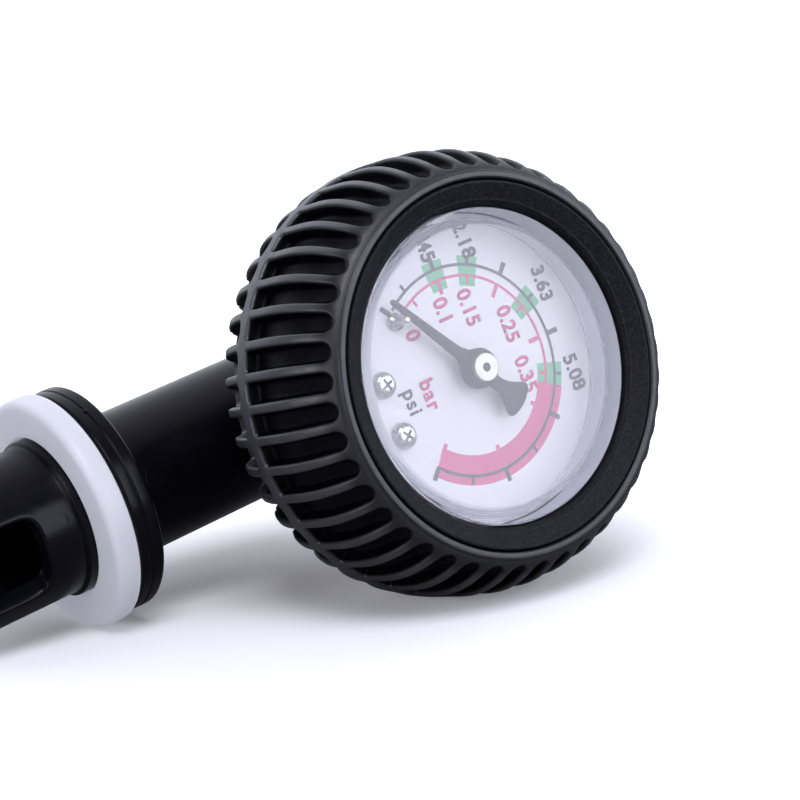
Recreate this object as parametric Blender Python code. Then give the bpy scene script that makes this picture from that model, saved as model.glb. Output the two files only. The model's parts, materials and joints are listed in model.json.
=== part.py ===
"""Hand-held inflation pressure gauge: a 50 mm dial gauge in a ribbed rubber boot,
on a side boss of a moulded valve adapter with a flange, a sealing washer and a
plug-in nozzle. Lying on its boot and its washer, dial facing -Y.

Every sub-part is drawn in the dial's own axes, in millimetres: x to the dial's
right, y towards its top, z out of the dial. The empty gauge_frame stands those
axes in the row frame (metres, +Z up, floor at z = 0)."""

import bpy
import bmesh
import math
from mathutils import Matrix, Vector

MM = 0.001

# how the gauge lies
DIAL_TILT_DEG = 8.5        # the dial looks up by this much
TUBE_TILT_DEG = 10.85      # the adapter slopes down by this much

# boot
BOOT_R = 31.0
RIB_COUNT = 45
RIB_HALF_DEG = 1.2
POCKET_START_DEG = 2.1
POCKET_DEPTH = 1.6
CASE_R = 25.0
GAP = 0.3

# case, lens, dial
RIM_Z = 2.4
OPENING_R = 21.9
DIAL_R = 21.35
DIAL_Z = -7.0
DIAL_T = 0.5
CASE_BACK_Z = -24.0
LENS_R, LENS_TOP = 21.6, 0.25

# dial furniture, clockwise dial angles from the top
SCREW_R, SCREW_DEG = 14.7, 14.6
SCREW_SKEW_DEG = -2.2
STOP_R, STOP_DEG = 13.55, -131.0
POINTER_REST_DEG = -125.8
POINTER_TIP = 16.4

# movement
MODULE = 0.3
PINION_TEETH = 9
SECTOR_TEETH = 72
CENTRES = MODULE * (PINION_TEETH + SECTOR_TEETH) / 2
SECTOR_DIR_DEG = -25.0     # from the pointer's axis to the sector's, from +x
TAIL_R = 4.0
TAIL_REST_DEG = -16.4
TUBE_R = 19.0              # centre line of the C-shaped tube
TIP_DIR_DEG = -36.9
ROOT = (-7.7, -17.4)

# adapter
BODY_Z = -47.0
BODY_R = 10.65
NOZZLE_R = 11.1
BORE_R = 8.3
COLLAR_R = 11.7
FLANGE_R = 16.85
FLANGE_Y0, FLANGE_Y1 = -40.1, -43.9
SEAT_Y = -44.15
WASHER_Y0, WASHER_Y1 = -44.35, -48.0
WASHER_R, WASHER_BORE = 17.35, 12.0
NOZZLE_END_Y = -68.0
BOSS_Y, BOSS_R, BOSS_TOP_Z = -11.0, 8.3, -26.3
STEM_R = 5.0
WINDOW_DEG = 16.0

COLOURS = {
    "rubber": ((0.02, 0.02, 0.022), 0.0, 0.62),
    "black": ((0.015, 0.015, 0.017), 0.0, 0.4),
    "white": ((0.85, 0.85, 0.84), 0.0, 0.45),
    "clear": ((0.9, 0.92, 0.95), 0.0, 0.05),
    "brass": ((0.72, 0.55, 0.27), 1.0, 0.3),
    "steel": ((0.7, 0.7, 0.72), 1.0, 0.28),
}


def polar(radius, degrees):
    a = math.radians(degrees)
    return (radius * math.cos(a), radius * math.sin(a))


def dial_polar(radius, degrees):
    """A point at a clockwise dial angle from the top."""
    a = math.radians(degrees)
    return (radius * math.sin(a), radius * math.cos(a))


SECTOR_AXIS = polar(CENTRES, SECTOR_DIR_DEG)
TAIL_PIN = (SECTOR_AXIS[0] + polar(TAIL_R, TAIL_REST_DEG)[0],
            SECTOR_AXIS[1] + polar(TAIL_R, TAIL_REST_DEG)[1])
TIP_PIN = polar(TUBE_R, TIP_DIR_DEG)
SCREW_SPOTS = [dial_polar(SCREW_R, 180.0 + SCREW_SKEW_DEG + s * SCREW_DEG) for s in (1, -1)]
PILLARS = {"a": (-5.0, -7.5), "b": (8.6, -11.2), "c": (4.5, 7.2)}


# ---------------------------------------------------------------- helpers

def clear_scene():
    for obj in list(bpy.data.objects):
        bpy.data.objects.remove(obj, do_unlink=True)


def empty(name, at=(0, 0, 0), parent=None):
    e = bpy.data.objects.new(name, None)
    bpy.context.scene.collection.objects.link(e)
    e.parent = parent
    e.location = Vector(at)
    return e


def paint(obj, kind):
    colour, metallic, rough = COLOURS[kind]
    mat = bpy.data.materials.new(obj.name + "_mat")
    mat.use_nodes = True
    shader = mat.node_tree.nodes["Principled BSDF"]
    shader.inputs["Base Color"].default_value = (*colour, 1)
    shader.inputs["Metallic"].default_value = metallic
    shader.inputs["Roughness"].default_value = rough
    if kind == "clear":
        shader.inputs["Transmission Weight"].default_value = 1.0
    obj.data.materials.append(mat)


def mesh_object(name, verts, faces, parent, kind=None):
    """Verts are in dial axes and mm; the parent's place in those axes is taken off."""
    at = Vector((0, 0, 0))
    p = parent
    while p is not None and p.name != "gauge_frame":
        at += p.location
        p = p.parent
    mesh = bpy.data.meshes.new(name)
    mesh.from_pydata([tuple(Vector(v) - at) for v in verts], [], faces)
    bm = bmesh.new()
    bm.from_mesh(mesh)
    bmesh.ops.recalc_face_normals(bm, faces=bm.faces)
    bm.to_mesh(mesh)
    bm.free()
    obj = bpy.data.objects.new(name, mesh)
    bpy.context.scene.collection.objects.link(obj)
    obj.parent = parent
    if kind:
        paint(obj, kind)
    else:
        obj.hide_render = True
        obj.display_type = "WIRE"
    return obj


def prism(name, outline, z0, z1, parent, kind=None):
    n = len(outline)
    verts = [(x, y, z0) for x, y in outline] + [(x, y, z1) for x, y in outline]
    faces = [tuple(range(n))[::-1], tuple(range(n, 2 * n))]
    faces += [(i, (i + 1) % n, n + (i + 1) % n, n + i) for i in range(n)]
    return mesh_object(name, verts, faces, parent, kind)


def circle(at, r, n, start=0.0):
    return [(at[0] + r * math.cos(start + 2 * math.pi * i / n),
             at[1] + r * math.sin(start + 2 * math.pi * i / n)) for i in range(n)]


def turned(name, profile, parent, kind=None, n=48, at=(0, 0), lying=False):
    """A closed (radius, height) profile turned round z at (x, y), or round the adapter's axis if lying."""
    verts, rows = [], []
    for r, h in profile:
        if r == 0:
            rows.append([len(verts)] * n)
            verts.append((0.0, 0.0, h))
        else:
            rows.append(list(range(len(verts), len(verts) + n)))
            verts += [(x, y, h) for x, y in circle((0, 0), r, n, 0.0 if kind else 0.07)]
    faces = []
    for a, b in zip(rows, rows[1:] + rows[:1]):
        for i in range(n):
            j = (i + 1) % n
            face = [a[i], a[j], b[j], b[i]]
            face = [v for k, v in enumerate(face) if v not in face[:k]]
            if len(face) > 2:
                faces.append(tuple(face))
    if lying:
        verts = [(x, z, BODY_Z - y) for x, y, z in verts]
    else:
        verts = [(x + at[0], y + at[1], z) for x, y, z in verts]
    return mesh_object(name, verts, faces, parent, kind)


def boolean(obj, other, operation):
    mod = obj.modifiers.new(operation.lower() + "_" + other.name, "BOOLEAN")
    mod.operation = operation
    mod.solver = "EXACT"
    mod.object = other


def finish_solids():
    """Make the cuts and joins real, drop the helpers, and turn millimetres into metres."""
    bpy.context.view_layer.update()
    graph = bpy.context.evaluated_depsgraph_get()
    solids = [o for o in bpy.data.objects if o.type == "MESH" and not o.hide_render]
    made = {o.name: bpy.data.meshes.new_from_object(o.evaluated_get(graph)) for o in solids}
    for o in solids:
        o.modifiers.clear()
        o.data = made[o.name]
        o.data.name = o.name
        bm = bmesh.new()
        bm.from_mesh(o.data)
        bmesh.ops.remove_doubles(bm, verts=bm.verts, dist=0.002)
        bmesh.ops.dissolve_degenerate(bm, edges=bm.edges, dist=0.002)
        bmesh.ops.triangulate(bm, faces=[f for f in bm.faces if len(f.verts) > 4])
        bm.to_mesh(o.data)
        bm.free()
        o.data.transform(Matrix.Scale(MM, 4))
    for o in list(bpy.data.objects):
        if o.type == "MESH" and o.hide_render:
            bpy.data.objects.remove(o, do_unlink=True)
        elif o.type == "EMPTY":
            o.location *= MM


def hull_outline(discs, n=8):
    """The outline round a set of (x, y, r) discs."""
    pts = sorted({(round(x + r * math.cos(2 * math.pi * i / n), 5),
                   round(y + r * math.sin(2 * math.pi * i / n), 5))
                  for x, y, r in discs for i in range(n)})

    def half(seq):
        out = []
        for q in seq:
            while len(out) > 1 and ((out[-1][0] - out[-2][0]) * (q[1] - out[-2][1])
                                    - (out[-1][1] - out[-2][1]) * (q[0] - out[-2][0])) <= 0:
                out.pop()
            out.append(q)
        return out[:-1]
    return half(pts) + half(pts[::-1])


# ---------------------------------------------------------------- boot, case, lens

def rubber_boot(frame):
    d = POCKET_DEPTH
    profile = [  # radius, z, pocket depth
        (CASE_R + 0.35, 2.05, 0), (25.75, RIM_Z, 0), (26.4, RIM_Z, 0), (26.85, 1.9, 0),
        (27.4, 1.45, 0.6 * d), (29.2, -1.6, d), (30.45, -5.2, d), (BOOT_R, -9.5, d),
        (BOOT_R, -13.7, d), (BOOT_R, -14.4, 0), (BOOT_R, -15.6, 0), (30.9, -16.2, 0.8 * d),
        (30.0, -20.8, 0.8 * d), (28.3, -23.9, 0.6 * d), (26.6, -25.3, 0),
        (21.0, -25.6, 0), (21.0, CASE_BACK_Z - 0.35, 0), (CASE_R + 0.35, CASE_BACK_Z - 0.35, 0),
    ]
    pitch = 360.0 / RIB_COUNT
    steps = [(-RIB_HALF_DEG, 0), (RIB_HALF_DEG, 0),
             (POCKET_START_DEG, 1), (pitch - POCKET_START_DEG, 1)]
    spots = [(k * pitch + a, deep) for k in range(RIB_COUNT) for a, deep in steps]
    n, m = len(spots), len(profile)
    verts = []
    for r, z, depth in profile:
        for a, deep in spots:
            x, y = dial_polar(r - depth * deep, a)
            verts.append((x, y, z))
    faces = []
    for i in range(m):
        j = (i + 1) % m
        for k in range(n):
            q = (k + 1) % n
            faces.append((i * n + k, i * n + q, j * n + q, j * n + k))
    mesh_object("rubber_boot", verts, faces, frame, "rubber")


def gauge_case(frame):
    case = turned("gauge_case", [
        (CASE_R, CASE_BACK_Z), (CASE_R, RIM_Z - 0.3), (CASE_R - 0.3, RIM_Z),
        (22.4, 1.15), (OPENING_R, 0.75), (OPENING_R, DIAL_Z - DIAL_T - GAP),
        (20.2, DIAL_Z - DIAL_T - GAP), (20.2, -8.8), (23.7, -8.8),
        (23.7, CASE_BACK_Z + 1.2), (0, CASE_BACK_Z + 1.2), (0, CASE_BACK_Z)],
        frame, "black", n=48)
    hole = turned("cut_case_stem", [(0, -30), (STEM_R + GAP, -30), (STEM_R + GAP, -20), (0, -20)],
                  frame, n=24, at=(0, BOSS_Y))
    boolean(case, hole, "DIFFERENCE")
    for i, (x, y) in enumerate(((-5.0, -18.0), (5.0, -18.0))):
        c = turned("cut_case_screw_%d" % i, [(0, -30), (1.3, -30), (1.3, -20), (0, -20)],
                   frame, n=12, at=(x, y))
        boolean(case, c, "DIFFERENCE")


def lens(frame):
    turned("lens", [(0, LENS_TOP - 1.9), (19.7, LENS_TOP - 1.9), (20.45, LENS_TOP - 2.8),
                    (20.45, DIAL_Z + 0.4), (LENS_R, DIAL_Z + 0.4), (LENS_R, LENS_TOP - 0.25),
                    (LENS_R - 0.25, LENS_TOP), (0, LENS_TOP)], frame, "clear", n=48)


# ---------------------------------------------------------------- dial

def dial_plate(frame):
    plate = turned("dial_plate", [(0, DIAL_Z - DIAL_T), (DIAL_R, DIAL_Z - DIAL_T),
                                  (DIAL_R, DIAL_Z), (0, DIAL_Z)], frame, "white", n=48)
    spots = [((0, 0), 1.4)] + [(s, 1.2) for s in SCREW_SPOTS] + [(dial_polar(STOP_R, STOP_DEG), 0.75)]
    for i, (at, r) in enumerate(spots):
        c = turned("cut_dial_%d" % i, [(0, -9), (r, -9), (r, -6), (0, -6)], frame, n=16, at=at)
        boolean(plate, c, "DIFFERENCE")


def dial_screws(frame):
    for name, at in zip(("left", "right"), SCREW_SPOTS):
        screw = turned("dial_screw_" + name, [
            (0, -10.8), (0.8, -10.8), (0.8, DIAL_Z + 0.2), (1.85, DIAL_Z + 0.2),
            (1.85, -6.1), (1.3, -5.55), (0, -5.4)], frame, "steel", n=16, at=at)
        for k in range(2):
            w, l = (0.25, 1.1) if k else (1.1, 0.25)
            box = prism("cut_%s_slot_%d" % (name, k),
                        [(at[0] - w, at[1] - l), (at[0] + w, at[1] - l),
                         (at[0] + w, at[1] + l), (at[0] - w, at[1] + l)], -6.2, -5.0, frame)
            boolean(screw, box, "DIFFERENCE")
        post = turned("dial_post_" + name, [
            (0, -14.7), (1.5, -14.7), (1.5, -7.8), (1.1, -7.8), (1.1, -11.2), (0, -11.2)],
            frame, "brass", n=16, at=at)


def stop_pin(frame):
    turned("stop_pin", [(0, -8.6), (0.45, -8.6), (0.45, DIAL_Z + 0.2), (1.25, DIAL_Z + 0.2),
                        (1.25, -6.3), (0.5, -6.0), (0.5, -3.9), (0.35, -3.7), (0, -3.7)],
           frame, "steel", n=16, at=dial_polar(STOP_R, STOP_DEG))


# ---------------------------------------------------------------- pressure side

def socket_block(frame):
    block = prism("socket_block", [(-6.6, -20.0), (6.6, -20.0), (6.6, -5.4), (-6.6, -5.4)],
                  -22.5, -16.1, frame, "brass")
    stem = turned("join_stem", [(0, -36.0), (4.4, -36.0), (STEM_R, -35.4), (STEM_R, -22.0), (0, -22.0)],
                  frame, n=24, at=(0, BOSS_Y))
    boolean(block, stem, "UNION")
    bore = turned("cut_stem_bore", [(0, -40), (1.6, -40), (1.6, -19), (0, -19)],
                  frame, n=12, at=(0, BOSS_Y))
    boolean(block, bore, "DIFFERENCE")
    for i, at in enumerate(((-3.0, -10.5), (3.0, -10.5))):
        c = turned("cut_block_tap_%d" % i, [(0, -19.5), (0.95, -19.5), (0.95, -15), (0, -15)],
                   frame, n=12, at=at)
        boolean(block, c, "DIFFERENCE")
    for i, at in enumerate(((-5.0, -18.0), (5.0, -18.0))):
        c = turned("cut_block_back_%d" % i, [(0, -24), (1.2, -24), (1.2, -19), (0, -19)],
                   frame, n=12, at=at)
        boolean(block, c, "DIFFERENCE")


def case_screws(frame):
    for i, x in enumerate((-5.0, 5.0)):
        turned("case_screw_" + ("left", "right")[i], [
            (0, -25.5), (1.4, -25.5), (1.9, -25.1), (1.9, -24.3), (0.9, -24.3), (0.9, -19.6), (0, -19.6)],
            frame, "steel", n=12, at=(x, -18.0))


def stem_seal(frame):
    turned("stem_seal", [(5.35, -25.95), (6.5, -25.95), (6.5, -24.4), (5.35, -24.4)],
           frame, "rubber", n=24, at=(0, BOSS_Y))


def bourdon_tube(axis):
    """A flattened tube bent to a C, from the block round the top to the tip."""
    start = math.degrees(math.atan2(ROOT[1], ROOT[0])) % 360
    stop = TIP_DIR_DEG + 4.2
    n = 22
    outline, inner = [], []
    for i in range(n + 1):
        a = start + (stop - start) * i / n
        outline.append(polar(TUBE_R + 0.8, a))
        inner.append(polar(TUBE_R - 0.8, a))
    prism("bourdon_tube", outline + inner[::-1], -21.7, -16.7, axis, "brass")


def tip_block(axis):
    px, py = TIP_PIN
    block = prism("tip_block", hull_outline([(px, py, 1.3)], 10), -21.4, -13.4, axis, "brass")
    pin = turned("join_tip_pin", [(0, -15), (0.5, -15), (0.5, -11.8), (0, -11.8)], axis, n=12, at=TIP_PIN)
    boolean(block, pin, "UNION")


# ---------------------------------------------------------------- movement

def gear_ring(teeth, count, first, radius, phase_deg, at, add=0.2, ded=0.34):
    """Outline points of `count` teeth whose pitch is that of a whole gear of `teeth`."""
    pitch = 360.0 / teeth
    out = []
    for k in range(count):
        centre = phase_deg + (first + k) * pitch
        for r, share in ((radius - ded, -0.27), (radius + add, -0.13),
                         (radius + add, 0.13), (radius - ded, 0.27)):
            x, y = polar(r, centre + share * pitch)
            out.append((at[0] + x, at[1] + y))
    return out


def pinion_arbor(axis):
    radius = MODULE * PINION_TEETH / 2
    gear = prism("pinion_arbor",
                 gear_ring(PINION_TEETH, PINION_TEETH, 0, radius, SECTOR_DIR_DEG + 180.0 / PINION_TEETH,
                           (0, 0)), -12.3, -10.7, axis, "steel")
    rod = turned("join_arbor", [(0, -15.6), (0.6, -15.6), (0.6, -3.1), (0.45, -2.8), (0, -2.8)],
                 axis, n=16)
    boolean(gear, rod, "UNION")


def sector_gear(axis):
    radius = MODULE * SECTOR_TEETH / 2
    facing = SECTOR_DIR_DEG + 180.0
    pitch = 360.0 / SECTOR_TEETH
    teeth = gear_ring(SECTOR_TEETH, 10, -8, radius, facing, SECTOR_AXIS)
    sx, sy = SECTOR_AXIS
    low, high = facing - 8.4 * pitch, facing + 1.4 * pitch
    rim = [(sx + polar(radius - 1.6, a)[0], sy + polar(radius - 1.6, a)[1])
           for a in [high - (high - low) * i / 6 for i in range(7)]]
    window = rim[1:-1]
    mid = (low + high) / 2
    arm = [(sx + polar(1.9, mid + 62)[0], sy + polar(1.9, mid + 62)[1])]
    arm2 = [(sx + polar(1.9, mid - 62)[0], sy + polar(1.9, mid - 62)[1])]
    outer_low = (sx + polar(radius - 0.34, low)[0], sy + polar(radius - 0.34, low)[1])
    outer_high = (sx + polar(radius - 0.34, high)[0], sy + polar(radius - 0.34, high)[1])
    fan = [outer_low] + teeth + [outer_high, rim[0]] + arm + arm2 + [rim[-1]]
    gear = prism("sector_gear", fan, -12.0, -11.0, axis, "brass")
    hub = turned("join_sector_hub", [(0, -12.0), (1.9, -12.0), (1.9, -11.0), (0, -11.0)],
                 axis, n=16, at=SECTOR_AXIS)
    tail = prism("join_sector_tail", hull_outline([(sx, sy, 1.5), (*TAIL_PIN, 1.1)]),
                 -12.0, -11.0, axis)
    rod = turned("join_sector_arbor", [(0, -15.6), (0.6, -15.6), (0.6, -9.2), (0, -9.2)],
                 axis, n=16, at=SECTOR_AXIS)
    pin = turned("join_tail_pin", [(0, -13.3), (0.5, -13.3), (0.5, -11.5), (0, -11.5)],
                 axis, n=12, at=TAIL_PIN)
    for other in (hub, tail, rod, pin):
        boolean(gear, other, "UNION")


def link(axis):
    bar = prism("link", hull_outline([(*TAIL_PIN, 1.2), (*TIP_PIN, 1.25)]), -12.8, -12.3, axis, "steel")
    for i, (at, r) in enumerate(((TAIL_PIN, 0.62), (TIP_PIN, 0.85))):
        c = turned("cut_link_%d" % i, [(0, -14), (r, -14), (r, -11.2), (0, -11.2)], axis, n=12, at=at)
        boolean(bar, c, "DIFFERENCE")


def movement_plates(frame):
    s = SECTOR_AXIS
    discs = [(*PILLARS["a"], 1.7), (*PILLARS["b"], 1.7), (*PILLARS["c"], 1.7), (*s, 1.7)]
    front = prism("movement_front_plate", hull_outline(discs), -9.8, -9.0, frame, "brass")
    back = prism("movement_back_plate",
                 hull_outline(discs + [(*p, 1.8) for p in SCREW_SPOTS]), -15.8, -15.0, frame, "brass")
    for name, plate, z0, z1 in (("front", front, -11, -8), ("back", back, -17, -14)):
        for i, at in enumerate(((0, 0), s)):
            c = turned("cut_%s_arbor_%d" % (name, i), [(0, z0), (0.69, z0), (0.69, z1), (0, z1)],
                       frame, n=16, at=at)
            boolean(plate, c, "DIFFERENCE")
    for key, at in PILLARS.items():
        c = turned("cut_front_screw_" + key, [(0, -11), (0.85, -11), (0.85, -8), (0, -8)], frame, n=12, at=at)
        boolean(front, c, "DIFFERENCE")
        pillar = turned("pillar_" + key, [(0, -14.7), (1.3, -14.7), (1.3, -10.1), (0.85, -10.1),
                                          (0.85, -13.0), (0, -13.0)], frame, "brass", n=12, at=at)
        turned("plate_screw_" + key, [(0, -12.6), (0.55, -12.6), (0.55, -8.8), (1.3, -8.8),
                                      (1.3, -8.1), (0, -8.0)], frame, "steel", n=12, at=at)
    for i, at in enumerate(((-3.0, -10.5), (3.0, -10.5))):
        c = turned("cut_back_screw_%d" % i, [(0, -17), (0.95, -17), (0.95, -14), (0, -14)], frame, n=12, at=at)
        boolean(back, c, "DIFFERENCE")
        turned("block_screw_" + ("left", "right")[i], [
            (0, -19.2), (0.65, -19.2), (0.65, -14.7), (1.4, -14.7), (1.4, -14.0), (0, -13.9)],
            frame, "steel", n=12, at=at)


def hairspring(axis):
    """A flat spiral round the pinion's arbor, on a small collar."""
    turns, n = 2.5, 40
    inner, outer = 1.35, 3.6
    one, two = [], []
    for i in range(n + 1):
        a = 360.0 * turns * i / n
        r = inner + (outer - inner) * i / n
        one.append(polar(r - 0.12, a))
        two.append(polar(r + 0.12, a))
    spiral = prism("hairspring", one + two[::-1], -14.2, -13.4, axis, "brass")
    collar = turned("join_collar", [(0.9, -14.4), (1.55, -14.4), (1.55, -13.2), (0.9, -13.2)], axis, n=16)
    boolean(spiral, collar, "UNION")


# ---------------------------------------------------------------- pointer

def pointer(axis):
    """A tapered blade, a round hub and a flared counterweight."""
    a = math.radians(90.0 - POINTER_REST_DEG)
    ux, uy = math.cos(a), math.sin(a)

    def spot(along, across):
        return (along * ux + across * uy, along * uy - across * ux)
    blade = [spot(0, -0.85), spot(0, 0.85), spot(POINTER_TIP - 0.6, 0.42), spot(POINTER_TIP - 0.15, 0.3),
             spot(POINTER_TIP, 0), spot(POINTER_TIP - 0.15, -0.3), spot(POINTER_TIP - 0.6, -0.42)]
    plate = prism("pointer", blade, -5.1, -4.7, axis, "black")
    tail = [spot(0, -1.2), spot(-2.6, -1.15), spot(-4.4, -1.6), spot(-6.4, -2.6), spot(-7.6, -3.1),
            spot(-8.3, -2.9), spot(-8.7, -1.6), spot(-8.8, 0), spot(-8.7, 1.6), spot(-8.3, 2.9),
            spot(-7.6, 3.1), spot(-6.4, 2.6), spot(-4.4, 1.6), spot(-2.6, 1.15), spot(0, 1.2)]
    fan = prism("join_pointer_tail", tail, -5.1, -4.7, axis)
    hub = turned("join_pointer_hub", [(0, -5.9), (2.4, -5.9), (2.8, -5.4), (2.8, -4.1), (2.6, -3.8), (0, -3.8)],
                 axis, n=24)
    hole = turned("cut_pointer_hub", [(0, -7), (0.9, -7), (0.9, -3), (0, -3)], axis, n=16)
    boolean(plate, fan, "UNION")
    boolean(plate, hub, "UNION")
    boolean(plate, hole, "DIFFERENCE")
    turned("pointer_bush", [(0.9, -3.5), (2.0, -3.5), (2.05, -3.3), (1.9, -2.95), (0.9, -2.85)],
           axis, "steel", n=24)


# ---------------------------------------------------------------- adapter

def adapter_body(frame):
    body = turned("adapter_body", [
        (0, 1.8), (8.8, 1.8), (10.2, 1.1), (BODY_R, -0.4), (BODY_R, FLANGE_Y0),
        (FLANGE_R - 0.5, FLANGE_Y0), (FLANGE_R, FLANGE_Y0 - 0.4), (FLANGE_R, FLANGE_Y1 + 0.3),
        (FLANGE_R - 0.3, FLANGE_Y1), (15.9, SEAT_Y), (COLLAR_R, SEAT_Y), (COLLAR_R, -48.9),
        (NOZZLE_R, -49.3), (NOZZLE_R, NOZZLE_END_Y + 0.8), (NOZZLE_R - 0.8, NOZZLE_END_Y),
        (0, NOZZLE_END_Y)], frame, "black", n=40, lying=True)
    boss = turned("join_boss", [(0, BODY_Z), (BOSS_R, BODY_Z), (BOSS_R, BOSS_TOP_Z - 0.6),
                                (BOSS_R - 0.6, BOSS_TOP_Z), (0, BOSS_TOP_Z)], frame, n=32, at=(0, BOSS_Y))
    boolean(body, boss, "UNION")
    bore = turned("cut_bore", [(0, -3.0), (BORE_R - 1.2, -3.6), (BORE_R, -5.0), (BORE_R, -70.0), (0, -70.0)],
                  frame, n=32, lying=True)
    boolean(body, bore, "DIFFERENCE")
    c = turned("cut_boss_bore", [(0, -44.0), (5.35, -44.0), (5.35, -20), (0, -20)],
               frame, n=24, at=(0, BOSS_Y))
    boolean(body, c, "DIFFERENCE")
    # two windows through the nozzle wall
    a = math.radians(WINDOW_DEG)
    half, y0, y1, r = 6.1, -65.2, -54.6, 2.2
    corners = [(half - r, y1 - r, 0), (-(half - r), y1 - r, 90), (-(half - r), y0 + r, 180), (half - r, y0 + r, 270)]
    outline = [(cx + r * math.cos(math.radians(s + k * 30)), cy + r * math.sin(math.radians(s + k * 30)))
               for cx, cy, s in corners for k in range(4)]
    verts, n = [], len(outline)
    for depth in (-14.0, 14.0):
        for u, y in outline:
            verts.append((u * math.cos(a) + depth * math.sin(a), y,
                          BODY_Z - u * math.sin(a) + depth * math.cos(a)))
    faces = [tuple(range(n))[::-1], tuple(range(n, 2 * n))]
    faces += [(i, (i + 1) % n, n + (i + 1) % n, n + i) for i in range(n)]
    c = mesh_object("cut_windows", verts, faces, frame)
    boolean(body, c, "DIFFERENCE")
    # a web across the nozzle carries the pin that pushes the valve open
    boxes = {"join_web": (9.6, 0.9, -67.6, -62.5)}
    for name, (u1, t, ya, yb) in boxes.items():
        verts = [(u * math.cos(a) + d * math.sin(a), y, BODY_Z - u * math.sin(a) + d * math.cos(a))
                 for u in (-u1, u1) for y in (ya, yb) for d in (-t, t)]
        faces = [(0, 1, 3, 2), (4, 6, 7, 5), (0, 4, 5, 1), (2, 3, 7, 6), (0, 2, 6, 4), (1, 5, 7, 3)]
        boolean(body, mesh_object(name, verts, faces, frame), "UNION")
    pin = turned("join_pin", [(0, -59.0), (1.6, -59.4), (2.1, -60.0), (2.1, -67.8), (0, -67.8)],
                 frame, n=16, lying=True)
    boolean(body, pin, "UNION")
    # bayonet lugs beside the mouth
    for i, turn in enumerate((WINDOW_DEG + 90, WINDOW_DEG - 90)):
        b = math.radians(turn)
        verts = [(u * math.cos(b) + d * math.sin(b), y, BODY_Z - u * math.sin(b) + d * math.cos(b))
                 for u in (-2.0, 2.0) for y in (-67.0, -65.0) for d in (10.0, 12.4)]
        faces = [(0, 1, 3, 2), (4, 6, 7, 5), (0, 4, 5, 1), (2, 3, 7, 6), (0, 2, 6, 4), (1, 5, 7, 3)]
        boolean(body, mesh_object("join_lug_%d" % i, verts, faces, frame), "UNION")


def sealing_washer(frame):
    turned("sealing_washer", [
        (WASHER_BORE, WASHER_Y0), (WASHER_R - 0.5, WASHER_Y0), (WASHER_R, WASHER_Y0 - 0.6),
        (WASHER_R, WASHER_Y1 + 0.6), (WASHER_R - 0.2, WASHER_Y1 + 0.2), (WASHER_R - 0.6, WASHER_Y1),
        (WASHER_BORE, WASHER_Y1)], frame, "white", n=64, lying=True)


# ---------------------------------------------------------------- whole

def stand(frame):
    """Turn the dial's axes into the row frame, then centre the whole on the floor."""
    t, s = math.radians(DIAL_TILT_DEG), math.sin(math.radians(TUBE_TILT_DEG))
    out = Vector((0, -math.cos(t), math.sin(t)))
    uy = s * math.tan(t)
    up = Vector((math.sqrt(1 - uy * uy - s * s), uy, s))
    right = up.cross(out)
    turn = Matrix((right, up, out)).transposed()
    frame.matrix_world = turn.to_4x4()
    bpy.context.view_layer.update()
    points = [o.matrix_world @ v.co for o in bpy.data.objects
              if o.type == "MESH" and not o.hide_render for v in o.data.vertices]
    low = Vector(min(p[i] for p in points) for i in range(3))
    high = Vector(max(p[i] for p in points) for i in range(3))
    frame.location = (-(low.x + high.x) / 2, -(low.y + high.y) / 2, -low.z)


def build():
    clear_scene()
    frame = empty("gauge_frame")
    pointer_axis = empty("pointer_axis", (0, 0, 0), frame)
    sector_axis = empty("sector_axis", (*SECTOR_AXIS, 0), frame)
    link_axis = empty("link_axis", (TAIL_PIN[0] - SECTOR_AXIS[0], TAIL_PIN[1] - SECTOR_AXIS[1], 0), sector_axis)
    tube_axis = empty("tube_axis", (*ROOT, 0), frame)
    rubber_boot(frame)
    gauge_case(frame)
    lens(frame)
    dial_plate(frame)
    dial_screws(frame)
    stop_pin(frame)
    socket_block(frame)
    case_screws(frame)
    stem_seal(frame)
    bourdon_tube(tube_axis)
    tip_block(tube_axis)
    pinion_arbor(pointer_axis)
    sector_gear(sector_axis)
    link(link_axis)
    movement_plates(frame)
    hairspring(pointer_axis)
    pointer(pointer_axis)
    adapter_body(frame)
    sealing_washer(frame)
    finish_solids()
    stand(frame)


build()
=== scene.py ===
"""Looks of the inflation pressure gauge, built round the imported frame.

Pieces are drawn in the dial's own axes, in millimetres (x to the dial's right,
y towards its top, z out of it), and stand in the row frame through DIAL."""
import bpy
import bmesh
import json
import math
import numpy as np
from mathutils import Matrix, Vector


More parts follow.
